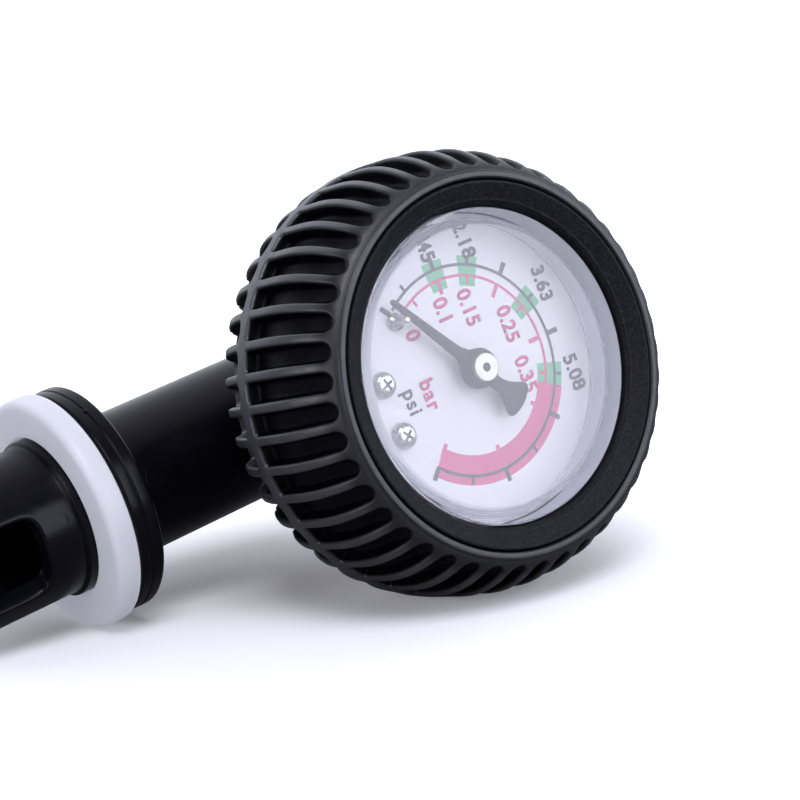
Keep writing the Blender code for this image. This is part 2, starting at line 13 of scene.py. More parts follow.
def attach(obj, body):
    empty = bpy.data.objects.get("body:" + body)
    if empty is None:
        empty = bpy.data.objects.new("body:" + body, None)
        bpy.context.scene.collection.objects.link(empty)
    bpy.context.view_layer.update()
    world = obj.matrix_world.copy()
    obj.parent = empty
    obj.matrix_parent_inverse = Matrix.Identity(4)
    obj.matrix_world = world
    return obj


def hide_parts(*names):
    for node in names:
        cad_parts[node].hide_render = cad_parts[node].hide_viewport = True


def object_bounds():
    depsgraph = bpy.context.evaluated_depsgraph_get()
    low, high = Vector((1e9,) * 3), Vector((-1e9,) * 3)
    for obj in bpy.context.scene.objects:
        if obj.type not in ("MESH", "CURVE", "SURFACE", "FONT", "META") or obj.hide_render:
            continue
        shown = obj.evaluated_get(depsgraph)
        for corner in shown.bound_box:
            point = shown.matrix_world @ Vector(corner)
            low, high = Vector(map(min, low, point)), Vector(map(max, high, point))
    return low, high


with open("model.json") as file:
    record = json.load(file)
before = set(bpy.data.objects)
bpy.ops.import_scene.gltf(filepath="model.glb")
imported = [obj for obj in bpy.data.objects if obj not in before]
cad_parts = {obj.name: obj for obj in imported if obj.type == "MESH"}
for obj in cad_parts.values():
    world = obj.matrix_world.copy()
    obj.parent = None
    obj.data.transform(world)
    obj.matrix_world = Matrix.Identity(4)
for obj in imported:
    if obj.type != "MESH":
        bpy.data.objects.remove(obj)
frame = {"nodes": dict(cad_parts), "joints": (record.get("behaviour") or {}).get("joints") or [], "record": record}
LOW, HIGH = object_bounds()
MM = 0.001
SAME_POINT = 2e-7            # metres


# ------------------------------------------------------------ the dial's own axes
def joint(name):
    return next(j for j in frame["joints"] if j["name"] == name)


def mount(name):
    return next(m for m in frame["record"]["mounts"] if m["name"] == name)


OUT = Vector(joint("pointer_turn")["axis"]).normalized()
UP = (-Vector(mount("valve_plug")["axis"])).normalized()
RIGHT = UP.cross(OUT).normalized()
POINTER_PIVOT_Z = -9.0
ORIGIN = Vector(joint("pointer_turn")["pos_m"]) - OUT * POINTER_PIVOT_Z * MM
DIAL = Matrix((RIGHT, UP, OUT)).transposed().to_4x4()
DIAL.translation = ORIGIN

# sizes shared with the frame, in mm
TUBE_Z = -47.0
TUBE_R = 10.65
BORE_R = 8.3
NOZZLE_R = 11.1
NOZZLE_END = -68.0
FLANGE_R = 16.85
FLANGE_Y = (-40.1, -43.9)
WASHER_R = 17.35
WASHER_Y = (-44.35, -48.0)
BOSS_Y, BOSS_R, BOSS_TOP = -11.0, 8.3, -26.3
LENS_R, LENS_TOP = 21.6, 0.25
DIAL_Z = -7.0
DIAL_R = 21.35
POINTER_REST = -125.8
STOP_AT = (13.55, -131.0)
SCREWS_AT = ((14.7, 180.0 - 2.2 + 14.6), (14.7, 180.0 - 2.2 - 14.6))
WINDOW_DEG = 16.0           # the way the nozzle's first window faces, round the adapter's axis


# ------------------------------------------------------------ mesh helpers
def dial_polar(r, deg):
    """x and y at a radius and at an angle clockwise from the dial's top."""
    a = math.radians(deg)
    return r * math.sin(a), r * math.cos(a)


def tidy_mesh(mesh, merge_within=0.0):
    """Close points made one, normals turned out, and the whole taken into the row frame."""
    bm = bmesh.new()
    bm.from_mesh(mesh)
    if merge_within:
        bmesh.ops.remove_doubles(bm, verts=bm.verts, dist=merge_within)
    bmesh.ops.recalc_face_normals(bm, faces=bm.faces)
    bm.to_mesh(mesh)
    bm.free()
    mesh.transform(DIAL)


def piece(name, verts, faces, material, body="gauge", stands_for=(),
          sharp=35.0, extra=(), painted_shade=None):
    """A mesh in dial axes and mm, standing in the row frame and riding on a body."""
    mesh = bpy.data.meshes.new(name)
    mesh.from_pydata([(x * MM, y * MM, z * MM) for x, y, z in verts], [], faces)
    # painted shade: a value per point, by which the rubber's material is darkened and dulled
    if painted_shade is not None:
        shade_mark = mesh.attributes.new("painted_shade", "FLOAT", "POINT")
        shade_mark.data.foreach_set("value", np.array(painted_shade, np.float32))
    tidy_mesh(mesh, SAME_POINT)
    mesh.shade_smooth()
    mesh.set_sharp_from_angle(angle=math.radians(sharp))
    for m in (material, *extra):
        mesh.materials.append(m)
    obj = bpy.data.objects.new(name, mesh)
    bpy.context.scene.collection.objects.link(obj)
    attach(obj, body)
    if stands_for:
        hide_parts(*stands_for)
    return obj


def second_material(obj, chosen):
    """The faces picked by their radius and height take the piece's second material."""
    to_dial = DIAL.inverted()
    for p in obj.data.polygons:
        c = to_dial @ p.center / MM
        if chosen(math.hypot(c.x, c.y), c.z):
            p.material_index = 1


def rounded(points, steps=4):
    """(r, z) or (r, z, fillet) corners -> the outline with its corners rounded."""
    out = []
    n = len(points)
    for i, p in enumerate(points):
        f = p[2] if len(p) > 2 else 0.0
        a, b, c = (np.array(points[(i + k) % n][:2], float) for k in (-1, 0, 1))
        la, lc = np.linalg.norm(a - b), np.linalg.norm(c - b)
        if f <= 0 or la < 1e-6 or lc < 1e-6:
            out.append(tuple(b))
            continue
        f = min(f, 0.49 * la, 0.49 * lc)
        s, e = b + (a - b) / la * f, b + (c - b) / lc * f
        for k in range(steps + 1):
            t = k / steps
            out.append(tuple((1 - t) ** 2 * s + 2 * t * (1 - t) * b + t * t * e))
    return out


def lathe(profile, n, at=(0, 0), lying=False):
    """Closed (radius, height) outline turned round z, or round the adapter's axis."""
    angles = [2 * math.pi * i / n for i in range(n)]
    verts, rows = [], []
    for r, h in profile:
        if r < 1e-6:
            rows.append([len(verts)] * n)
            ring = [(0.0, 0.0, h)]
        else:
            rows.append(list(range(len(verts), len(verts) + n)))
            ring = [(r * math.sin(a), r * math.cos(a), h) for a in angles]
        verts += ring
    faces = []
    for a, b in zip(rows, rows[1:] + rows[:1]):
        for i in range(n):
            j = (i + 1) % n
            face = []
            for v in (a[i], a[j], b[j], b[i]):
                if v not in face:
                    face.append(v)
            if len(face) > 2:
                faces.append(face)
    if lying:
        verts = [(x, h, TUBE_Z + y) for x, y, h in verts]
    else:
        verts = [(x + at[0], y + at[1], h) for x, y, h in verts]
    return verts, faces


def grid_faces(rows, n, closed=False):
    """Quads between rings of n points that follow one another."""
    faces = []
    for k in range(rows if closed else rows - 1):
        a, b = k * n, (k + 1) % rows * n
        faces += [[a + i, a + (i + 1) % n, b + (i + 1) % n, b + i] for i in range(n)]
    return faces


def merge(*parts):
    """Several (points, faces) as one."""
    verts, faces = [], []
    for v, f in parts:
        k = len(verts)
        verts += list(v)
        faces += [[i + k for i in face] for face in f]
    return verts, faces


def slab(outline, z0, z1, bevel=0.0):
    """An outline given thickness, its top edge taken off by a small bevel."""
    n = len(outline)
    pts = np.array(outline, float)
    area = 0.5 * np.sum(pts[:, 0] * np.roll(pts[:, 1], -1) - np.roll(pts[:, 0], -1) * pts[:, 1])
    if area < 0:
        pts = pts[::-1]
    rings = [(pts, z0)]
    if bevel > 0:
        before, after = np.roll(pts, 1, 0), np.roll(pts, -1, 0)
        e0, e1 = pts - before, after - pts
        n0 = np.stack([-e0[:, 1], e0[:, 0]], 1) / np.linalg.norm(e0, axis=1)[:, None]
        n1 = np.stack([-e1[:, 1], e1[:, 0]], 1) / np.linalg.norm(e1, axis=1)[:, None]
        mid = n0 + n1
        mid /= np.maximum(np.linalg.norm(mid, axis=1), 1e-6)[:, None]
        mid /= np.maximum(np.sum(mid * n0, axis=1), 0.5)[:, None]
        rings += [(pts, z1 - bevel), (pts + mid * bevel * 0.35, z1 - bevel * 0.35),
                  (pts + mid * bevel, z1)]
    else:
        rings.append((pts, z1))
    verts = [(x, y, z) for ring, z in rings for x, y in ring]
    faces = [list(range(n))[::-1], [len(rings) * n - n + i for i in range(n)]]
    return verts, faces + grid_faces(len(rings), n)


def arc_band(r0, r1, a0, a1, step=1.5):
    """Outline of a band between two radii and two dial angles."""
    k = max(2, int(abs(a1 - a0) / step))
    span = [a0 + (a1 - a0) * i / k for i in range(k + 1)]
    return [dial_polar(r1, a) for a in span] + [dial_polar(r0, a) for a in reversed(span)]


def cut_away(obj, verts, faces, sharp=35):
    """A closed shape, in dial axes and mm, cut out of a piece."""
    mesh = bpy.data.meshes.new("cutter")
    mesh.from_pydata([(x * MM, y * MM, z * MM) for x, y, z in verts], [], faces)
    tidy_mesh(mesh)
    # both are taken up in size for the cut, so nothing is lost to rounding
    work = []
    for source in (obj.data.copy(), mesh):
        source.transform(Matrix.Scale(1 / MM, 4))
        work.append(bpy.data.objects.new("work", source))
        bpy.context.scene.collection.objects.link(work[-1])
    cut = work[0].modifiers.new("cut", "BOOLEAN")
    cut.operation = "DIFFERENCE"
    cut.solver = "EXACT"
    cut.object = work[1]
    bpy.context.view_layer.update()
    graph = bpy.context.evaluated_depsgraph_get()
    made = bpy.data.meshes.new_from_object(work[0].evaluated_get(graph))
    made.transform(Matrix.Scale(MM, 4))
    made.name = obj.data.name
    materials = list(obj.data.materials)
    obj.data = made
    made.materials.clear()
    for m in materials:
        made.materials.append(m)
    for p in made.polygons:
        p.material_index = min(p.material_index, len(materials) - 1)
    made.shade_smooth()
    made.set_sharp_from_angle(angle=math.radians(sharp))
    for o in work:
        bpy.data.objects.remove(o)


def bore(obj, at, r, z0, z1, sharp=35):
    """A round hole cut through a piece, along the dial's axis."""
    verts, faces = lathe([(0, z0), (r, z0), (r, z1), (0, z1)], 48, at=at)
    cut_away(obj, verts, faces, sharp)


# ------------------------------------------------------------ materials
def node_material(name, colour, rough, metallic=0.0, specular=0.5):
    """A new material: itself, its nodes, its shader and the object coordinates."""
    mat = bpy.data.materials.new(name)
    mat.use_nodes = True
    tree = mat.node_tree
    shader = next(n for n in tree.nodes if n.type == "BSDF_PRINCIPLED")
    shader.inputs["Base Color"].default_value = (*colour, 1)
    shader.inputs["Roughness"].default_value = rough
    shader.inputs["Metallic"].default_value = metallic
    shader.inputs["Specular IOR Level"].default_value = specular
    coord = tree.nodes.new("ShaderNodeTexCoord")
    return mat, tree, shader, coord.outputs["Object"]


def noise(tree, where, scale, detail=4.0, rough=0.55):
    n = tree.nodes.new("ShaderNodeTexNoise")
    n.inputs["Scale"].default_value = scale
    n.inputs["Detail"].default_value = detail
    n.inputs["Roughness"].default_value = rough
    tree.links.new(where, n.inputs["Vector"])
    return n.outputs["Fac"]


def ramp(tree, fac, stops):
    r = tree.nodes.new("ShaderNodeValToRGB")
    els = r.color_ramp.elements
    while len(els) < len(stops):
        els.new(0.5)
    for e, (at, c) in zip(els, stops):
        e.position = at
        e.color = (*c, 1) if len(c) == 3 else c
    tree.links.new(fac, r.inputs["Fac"])
    return r.outputs["Color"]


def spread(tree, fac, low, high):
    """The middle range of a noise, taken to run from low to high."""
    m = tree.nodes.new("ShaderNodeMapRange")
    m.inputs["From Min"].default_value = 0.3
    m.inputs["From Max"].default_value = 0.7
    m.inputs["To Min"].default_value = low
    m.inputs["To Max"].default_value = high
    tree.links.new(fac, m.inputs["Value"])
    return m.outputs["Result"]


def bump(tree, shader, height, strength, distance, onto=None):
    b = tree.nodes.new("ShaderNodeBump")
    b.inputs["Strength"].default_value = strength
    b.inputs["Distance"].default_value = distance
    tree.links.new(height, b.inputs["Height"])
    if onto is not None:
        tree.links.new(onto, b.inputs["Normal"])
    tree.links.new(b.outputs["Normal"], shader.inputs["Normal"])
    return b.outputs["Normal"]


def mottled(tree, shader, fac, *stops):
    """A base colour that changes with a noise."""
    tree.links.new(ramp(tree, fac, stops), shader.inputs["Base Color"])


def uneven(tree, shader, fac, low, high):
    """A roughness that changes with a noise."""
    tree.links.new(spread(tree, fac, low, high), shader.inputs["Roughness"])


def rubber_material():
    """Matt rubber of a random tone. Painted shade: down in its pockets, and on the lip in front of them, the
    colour is painted darker and the sheen taken down.
    """
    mat, t, s, at = node_material("boot_rubber_look", (0.012, 0.012, 0.014), 0.5, specular=0.42)
    skin = ramp(t, noise(t, at, 220, 5), [(0.35, (0.020, 0.020, 0.024)), (0.7, (0.030, 0.030, 0.035))])
    shade_mark = t.nodes.new("ShaderNodeAttribute")
    shade_mark.attribute_name = "painted_shade"
    mix = t.nodes.new("ShaderNodeMix")
    mix.data_type = "RGBA"
    t.links.new(shade_mark.outputs["Fac"], mix.inputs["Factor"])
    t.links.new(skin, mix.inputs["A"])
    # painted shade: the near-black colour that the pockets and the lip are darkened towards
    mix.inputs["B"].default_value = (0.0012, 0.0012, 0.0022, 1)
    t.links.new(mix.outputs["Result"], s.inputs["Base Color"])
    # painted shade: the sheen is high on the ribs and taken down in the pockets
    sheen = t.nodes.new("ShaderNodeMapRange")
    t.links.new(shade_mark.outputs["Fac"], sheen.inputs["Value"])
    sheen.inputs["To Min"].default_value = 1.3
    sheen.inputs["To Max"].default_value = 0.10
    t.links.new(sheen.outputs["Result"], s.inputs["Specular IOR Level"])
    uneven(t, s, noise(t, at, 900, 4), 0.34, 0.46)
    first = bump(t, s, noise(t, at, 3200, 3), 0.25, 0.00005)
    bump(t, s, noise(t, at, 160, 2), 0.25, 0.0002, first)
    return mat


def case_material():
    """Black plastic with a fine grain."""
    mat, t, s, at = node_material("case_look", (0.008, 0.008, 0.010), 0.42, specular=0.09)
    mottled(t, s, noise(t, at, 3000, 2, 0.6), (0.4, (0.006, 0.006, 0.008)), (0.75, (0.020, 0.020, 0.025)))
    uneven(t, s, noise(t, at, 1500, 3), 0.38, 0.5)
    bump(t, s, noise(t, at, 4200, 2, 0.6), 1.0, 0.00010)
    return mat


def smooth_black(name, base, low, high, grain=0.12):
    """Moulded plastic, close to even in tone, its gloss a little patchy."""
    mat, t, s, at = node_material(name, base, low, specular=0.14)
    dark, light = (tuple(x * share for x in base) for share in (0.8, 1.25))
    mottled(t, s, noise(t, at, 300, 4), (0.3, dark), (0.75, light))
    uneven(t, s, noise(t, at, 90, 5, 0.7), low, high)
    bump(t, s, noise(t, at, 1400, 3), grain, 0.00006)
    return mat


def lens_material():
    mat, t, s, at = node_material("lens_look", (0.97, 0.975, 0.985), 0.0)
    s.inputs["Transmission Weight"].default_value = 1.0
    s.inputs["IOR"].default_value = 1.49
    uneven(t, s, noise(t, at, 60, 3), 0.0, 0.012)
    return mat


def frosted_material():
    mat, t, s, at = node_material("lens_rim_look", (0.8, 0.81, 0.86), 0.6, specular=0.2)
    mottled(t, s, noise(t, at, 400, 3), (0.3, (0.64, 0.66, 0.75)), (0.7, (0.71, 0.73, 0.82)))
    s.inputs["Emission Color"].default_value = (0.85, 0.85, 1.0, 1)
    s.inputs["Emission Strength"].default_value = 0.04     # painted light: the rim glows in place of light led round inside the window
    return mat


def dial_material():
    mat, t, s, at = node_material("dial_look", (0.8, 0.8, 0.84), 0.45)
    mottled(t, s, noise(t, at, 70, 4), (0.3, (0.825, 0.815, 0.83)), (0.7, (0.86, 0.85, 0.865)))
    bump(t, s, noise(t, at, 2500, 2), 0.15, 0.00003)
    return mat


def ink(name, dark, light):
    mat, t, s, at = node_material(name, dark, 0.5)
    mottled(t, s, noise(t, at, 1500, 3), (0.3, dark), (0.7, light))
    return mat


def washer_material():
    mat, t, s, at = node_material("washer_look", (0.84, 0.85, 0.9), 0.38)
    mottled(t, s, noise(t, at, 120, 4), (0.3, (0.42, 0.43, 0.465)), (0.7, (0.455, 0.46, 0.49)))
    s.inputs["Subsurface Weight"].default_value = 0.6
    s.inputs["Subsurface Radius"].default_value = (0.004, 0.0042, 0.005)
    s.inputs["Subsurface Scale"].default_value = 0.8
    s.inputs["Emission Color"].default_value = (0.85, 0.86, 1.0, 1)
    s.inputs["Emission Strength"].default_value = 0.31     # painted light: the ring glows in place of light led through it
    uneven(t, s, noise(t, at, 400, 3), 0.33, 0.45)
    bump(t, s, noise(t, at, 900, 3), 0.1, 0.00006)
    return mat


def metal(name, dark, light, low, high):
    mat, t, s, at = node_material(name, dark, low, metallic=1.0)
    mottled(t, s, noise(t, at, 400, 5), (0.3, dark), (0.7, light))
    uneven(t, s, noise(t, at, 900, 4), low, high)
    bump(t, s, noise(t, at, 1800, 3), 0.15, 0.00003)
    return mat


RUBBER = rubber_material()
CASE = case_material()
ADAPTER = smooth_black("adapter_look", (0.0030, 0.0029, 0.0052), 0.20, 0.30)
POINTER = smooth_black("pointer_look", (0.012, 0.012, 0.014), 0.4, 0.5, 0.05)
LENS = lens_material()
FACE = dial_material()
INK = ink("ink_dark", (0.020, 0.022, 0.035), (0.030, 0.032, 0.048))
RED = ink("ink_red", (0.64, 0.05, 0.20), (0.69, 0.07, 0.25))
GREEN = ink("ink_green", (0.10, 0.46, 0.22), (0.12, 0.50, 0.25))
FROSTED = frosted_material()
WASHER = washer_material()
STEEL = metal("steel_look", (0.38, 0.375, 0.37), (0.52, 0.515, 0.51), 0.22, 0.36)
HUB = metal("hub_look", (0.27, 0.255, 0.23), (0.32, 0.305, 0.28), 0.26, 0.34)
BRASS = metal("brass_look", (0.62, 0.44, 0.19), (0.74, 0.56, 0.27), 0.24, 0.4)


# ------------------------------------------------------------ the rubber boot
RIBS = 45
PITCH = 360.0 / RIBS
STEPS = 8                   # points of a plain ring to one pitch
POCKET_HALF = 2.75          # degrees
REAR_GAP = 1.9
RIB_TOP, RIB_SIDE = 1.05, 0.9    # degrees: half of a rib's top, and the run of its side
# painted shade on the smooth lip in front of the pockets: how far it is darkened
LIP_PAINTED_SHADE = 0.65
LIP_FADE = 3.0
DEG_PER_MM = 1.91
# painted shade: from this depth down, a point of the boot takes the pockets' full painted shade
SHADE_FULL_DEPTH = 0.5           # mm down, where the rubber counts as pocket
OUTER = [(26.62, 2.02), (27.1, 1.72), (27.75, 1.0), (28.55, -0.3), (29.25, -1.7), (29.95, -3.5),
         (30.5, -5.4), (30.85, -7.4), (31.0, -9.5), (31.0, -11.5), (31.0, -13.5), (31.0, -15.5),
         (30.88, -17.2), (30.5, -19.2), (29.95, -21.0), (29.2, -22.6), (28.2, -24.0), (27.2, -24.9),
         (26.2, -25.35)]
# each row of pockets: from and to z of its cell and of the pocket, radii of the pocket's two ends,
# depth in the middle, at the front and at the rear, and the length over which the front deepens
FRONT_ROW = dict(cell=(1.93, -14.35), pocket=(1.72, -13.95), ends=(1.5, 0.45),
                 depths=(2.0, 0.8, 1.9), ramp=5.5)
REAR_ROW = dict(cell=(-15.65, -24.75), pocket=(-16.05, -24.4), ends=(0.45, 1.2),
                depths=(2.0, 1.9, 0.9), ramp=2.5)
REAR_RAMP = 3.0
# the pocket's wall: inset from its edge, depth in mm, depth as a share of the full one, and the share
# it has where the front is still shallow
WALL = [(-0.32, 0.0, 0, 0.0), (-0.2, 0.03, 0, 0.02), (-0.09, 0.12, 0, 0.07), (0.0, 0.27, 0, 0.15),
        (0.06, 0.5, 0, 0.27), (0.11, 1.0, 0, 0.42), (0.2, 0, 0.80, 0.6), (0.34, 0, 0.93, 0.78),
        (0.56, 0, 0.985, 0.93), (0.9, 0, 1.0, 1.0)]
SIDE = 9                    # points along a pocket's long side
FRONT_TURN = [-90, -75, -60] + [-45 + 90.0 * k / 8 for k in range(9)] + [60, 75]
REAR_TURN = [22.5 * k for k in range(4)]
BACK_Z = -25.3


def smooth_curve(points, per=12):
    """A curve through the points, with even steps between each two."""
    p = [np.array(q, float) for q in points]
    p = [2 * p[0] - p[1]] + p + [2 * p[-1] - p[-2]]
    out = []
    for i in range(1, len(p) - 2):
        for k in range(per):
            t = k / per
            out.append(0.5 * (2 * p[i] + (p[i + 1] - p[i - 1]) * t
                              + (2 * p[i - 1] - 5 * p[i] + 4 * p[i + 1] - p[i + 2]) * t * t
                              + (3 * p[i] - p[i - 1] - 3 * p[i + 1] + p[i + 2]) * t ** 3))
    out.append(p[-2])
    return np.array(out)


CURVE = smooth_curve(OUTER)
RUN = np.concatenate([[0], np.cumsum(np.linalg.norm(np.diff(CURVE, axis=0), axis=1))])
TANGENT = np.gradient(CURVE, RUN, axis=0)
TANGENT /= np.linalg.norm(TANGENT, axis=1)[:, None]


def smooth_step(t):
    t = min(max(t, 0.0), 1.0)
    return t * t * (3 - 2 * t)


def s_of_z(z):
    """The distance along the boot's outline at which it reaches a height."""
    return float(np.interp(-z, -CURVE[:, 1], RUN))


def on_outline(s):
    return float(np.interp(s, RUN, CURVE[:, 0])), float(np.interp(s, RUN, CURVE[:, 1]))


def on_curve(z0, z1, k):
    return [on_outline(s) for s in np.linspace(s_of_z(z0), s_of_z(z1), k)]


LIP_END = s_of_z(1.0)
GAP_FROM, GAP_TO = s_of_z(-20.5), s_of_z(-23.2)


def lip_shade(s):
    """Painted shade: the smooth lip in front of the pockets is darker and duller than the ribs."""
    return LIP_PAINTED_SHADE * (1 - smooth_step((s - LIP_END) / LIP_FADE))


def gap_sink(deg, s):
    """The rear row is open at the back: between the ribs the surface stays down."""
    from_rib = abs(deg / PITCH - round(deg / PITCH)) * PITCH
    backwards = smooth_step((s - GAP_FROM) / (GAP_TO - GAP_FROM))
    return REAR_GAP * smooth_step((from_rib - RIB_TOP) / RIB_SIDE) * backwards


def place(deg, s, depth):
    """A point under the boot's outer surface."""
    depth = max(depth, gap_sink(deg, s))
    r, z = on_outline(s)
    tr, tz = np.interp(s, RUN, TANGENT[:, 0]), np.interp(s, RUN, TANGENT[:, 1])
    r = r - depth * (-tz) / math.hypot(tr, tz)
    z = z - depth * tr / math.hypot(tr, tz)
    return (*dial_polar(r, deg), z)


def pocket_outline(row, inset):
    """A pocket's edge drawn in by a distance, as degrees round and mm along the outline."""
    s0, s1 = (s_of_z(z) for z in row["pocket"])
    front, rear = row["ends"]
    cf, cr = s0 + front, s1 - rear
    w = POCKET_HALF - inset * DEG_PER_MM
    flat = w - max(rear * DEG_PER_MM - inset * DEG_PER_MM, 0.15)
    out = [(w * math.sin(math.radians(phi)), cf - (front - inset) * math.cos(math.radians(phi)))
           for phi in FRONT_TURN]
    out += [(w, cf + (cr - cf) * k / SIDE) for k in range(SIDE)]
    for phi in REAR_TURN:
        a = math.radians(phi)
        out.append((flat + (w - flat) * math.cos(a), cr + (rear - inset) * math.sin(a)))
    out += [(flat - 2 * flat * k / 4, s1 - inset) for k in range(4)]
    for phi in REAR_TURN:
        a = math.radians(90 - phi)
        out.append((-flat - (w - flat) * math.cos(a), cr + (rear - inset) * math.sin(a)))
    out += [(-w, cr + (cf - cr) * k / SIDE) for k in range(SIDE)]
    return out


def cell_border(row):
    """The edge of a pocket's cell, with a point for each one of the pocket's outline."""
    s_front, s_rear = (s_of_z(z) for z in row["cell"])
    s0, s1 = (s_of_z(z) for z in row["pocket"])
    cf, cr = s0 + row["ends"][0], s1 - row["ends"][1]
    half = PITCH / 2
    out = [(-half, cf + (s_front - cf) * k / 3) for k in range(3)]
    out += [(-half + PITCH * k / STEPS, s_front) for k in range(STEPS + 1)]
    out += [(half, s_front + (cf - s_front) * k / 3) for k in (1, 2)]
    out += [(half, cf + (cr - cf) * k / SIDE) for k in range(SIDE)]
    out += [(half, cr + (s_rear - cr) * k / 2) for k in range(2)]
    out += [(half - PITCH * k / STEPS, s_rear) for k in range(STEPS + 1)]
    out.append((-half, s_rear + (cr - s_rear) * 1 / 2))
    out += [(-half, cr + (cf - cr) * k / SIDE) for k in range(SIDE)]
    return out


def pocket_depth(row, s):
    """The pocket's full depth at a place, and how far its front has deepened there."""
    s0, s1 = (s_of_z(z) for z in row["pocket"])
    middle, front, rear = row["depths"]
    f, b = smooth_step((s - s0) / row["ramp"]), smooth_step((s1 - s) / REAR_RAMP)
    return (front + (middle - front) * f) * (rear / middle + (1 - rear / middle) * b), f


def cell(row, centre):
    """One pocket and the half ribs beside it: points, faces and each point's painted shade, from its depth in the
    pocket or from the lip.
    """
    border = cell_border(row)
    n = len(border)
    verts = [place(centre + u, s, 0.0) for u, s in border]
    marks = [lip_shade(s) for u, s in border]
    for inset, mm, share, gentle in WALL:
        for u, s in pocket_outline(row, inset):
            full, deepened = pocket_depth(row, s)
            steep = mm + full * share
            soft = full * gentle
            depth = min(soft + (steep - soft) * deepened, full)
            verts.append(place(centre + u, s, depth))
            # painted shade: grows with depth in the pocket, and takes the lip's share near the front
            marks.append(max(min(depth / SHADE_FULL_DEPTH, 1.0), lip_shade(s)))
    faces = grid_faces(len(WALL) + 1, n)
    # floor: the last ring is symmetric about its front tip
    last, tip = len(WALL) * n, FRONT_TURN.index(0)
    for k in range(n // 2):
        face = []
        for i in (tip + k, tip + k + 1, tip - k - 1, tip - k):
            if last + i % n not in face:
                face.append(last + i % n)
        if len(face) > 2:
            faces.append(face)
    return verts, faces, marks


def strip(profile, shade_mark=0.0):
    """A plain ring of the boot, its points matching the cells'."""
    n = RIBS * STEPS
    angles = [math.radians(k * PITCH / STEPS) for k in range(n)]
    verts = [(r * math.sin(a), r * math.cos(a), z) for r, z in profile for a in angles]
    return verts, grid_faces(len(profile), n), [shade_mark] * len(verts)


def rear_edge():
    """Behind the rear pockets: the gaps between the ribs run out towards the back."""
    n = RIBS * STEPS
    keeps = (1.0, 1.0, 1.0, 0.85, 0.0)
    verts = []
    for keep, s in zip(keeps, np.linspace(s_of_z(REAR_ROW["cell"][1]), s_of_z(BACK_Z), len(keeps))):
        r, z = on_outline(s)
        for i in range(n):
            sunk = place(i * PITCH / STEPS, s, 0.0)
            plain = (*dial_polar(r, i * PITCH / STEPS), z)
            verts.append(tuple(p + (q - p) * keep for p, q in zip(plain, sunk)))
    return verts, grid_faces(len(keeps), n), [0.0] * len(verts)


def boot():
    """The rubber boot as one closed skin, ring after ring."""
    parts = []
    for k in range(RIBS):
        parts += [cell(row, (k + 0.5) * PITCH) for row in (FRONT_ROW, REAR_ROW)]
    parts.append(strip(on_curve(FRONT_ROW["cell"][1], REAR_ROW["cell"][0], 4)))
    # the inner wall, the bead and the start of the shoulder, all with the lip's painted shade
    bead = rounded([(25.35, -24.35), (25.35, 1.2, 0.1), (25.18, 1.5, 0.1), (25.2, 2.15, 0.12),
                    (25.42, 2.4, 0.15), (26.15, 2.4, 0.3), (26.42, 2.08, 0.08), (26.62, 2.02)], 4)
    parts.append(strip(bead + on_curve(1.99, FRONT_ROW["cell"][0], 3), LIP_PAINTED_SHADE))
    parts.append(rear_edge())
    parts.append(strip(on_curve(BACK_Z + 0.001, BACK_Z, 1)
                       + [(26.0, -25.42), (25.4, -25.5), (21.3, -25.6), (21.0, -25.5), (21.0, -24.4),
                          (21.05, -24.35), (25.35, -24.35)]))
    verts, faces = merge(*[part[:2] for part in parts])
    # each point carries its painted shade to the rubber's material
    piece("boot", verts, faces, RUBBER, stands_for=["rubber_boot"], sharp=60,
          painted_shade=[shade_mark for part in parts for shade_mark in part[2]])


# ------------------------------------------------------------ case and lens
def case():
    """The case with its sloping bezel, open at the front."""
    outline = rounded([
        (0, -24.0), (25.0, -24.0, 0.4), (25.0, 1.95, 0.1), (24.9, 2.33, 0.12), (24.6, 2.38, 0.1),
        (22.62, 1.2, 0.1), (22.42, 1.18, 0.08), (22.1, 0.85, 0.1), (21.9, 0.6, 0.1), (21.9, -7.8),
        (20.2, -7.8), (20.2, -8.8), (23.7, -8.8), (23.7, -22.8), (0, -22.8)], 4)
    verts, faces = lathe(outline, 192)
    obj = piece("case", verts, faces, CASE, stands_for=["gauge_case"], sharp=45)
    # holes for the stem and for the two case screws
    for at, r in (((0.0, BOSS_Y), 5.3), ((-5.0, -18.0), 1.3), ((5.0, -18.0), 1.3)):
        bore(obj, at, r, -26.0, -21.0, 45)


def lens():
    """The window: clear on its faces, its moulded rim left frosted."""
    outline = rounded([
        (0, LENS_TOP), (LENS_R - 0.6, LENS_TOP), (LENS_R - 0.45, LENS_TOP), (LENS_R, LENS_TOP, 0.22),
        (LENS_R, -6.6, 0.15), (20.5, -6.6, 0.15), (20.45, -3.2), (20.45, -2.6, 0.5), (19.7, -1.65, 0.6),
        (18.9, -1.65), (18.6, -1.65), (0, -1.65)], 6)
    verts, faces = lathe(outline, 360)
    obj = piece("lens_window", verts, faces, LENS, stands_for=["lens"], sharp=50,
                extra=[FROSTED])
    second_material(obj, lambda r, z: r > LENS_R - 0.12 and z < LENS_TOP - 0.25)


# ------------------------------------------------------------ dial
PRINT_Z = DIAL_Z + 0.01
GREEN_Z, FINE_Z = PRINT_Z + 0.012, PRINT_Z + 0.03    # printed over the red band
INK_THICK = 0.02
SCALE_FROM = 0.3            # bar, at the top of the dial
DEG_PER_BAR = 450.0
BLOCK_HALF = 6.2            # degrees
SCALE_STEPS = 13            # marks, 0.05 bar apart
ZERO_MARK = -129.0          # degrees
RED_BAND, GREEN_BLOCK = (11.75, 15.9), (11.65, 15.85)    # radii
RED_RING, DARK_RING = (12.9, 13.28), (14.4, 14.82)


def bar_angle(value):
    return (value - SCALE_FROM) * DEG_PER_BAR


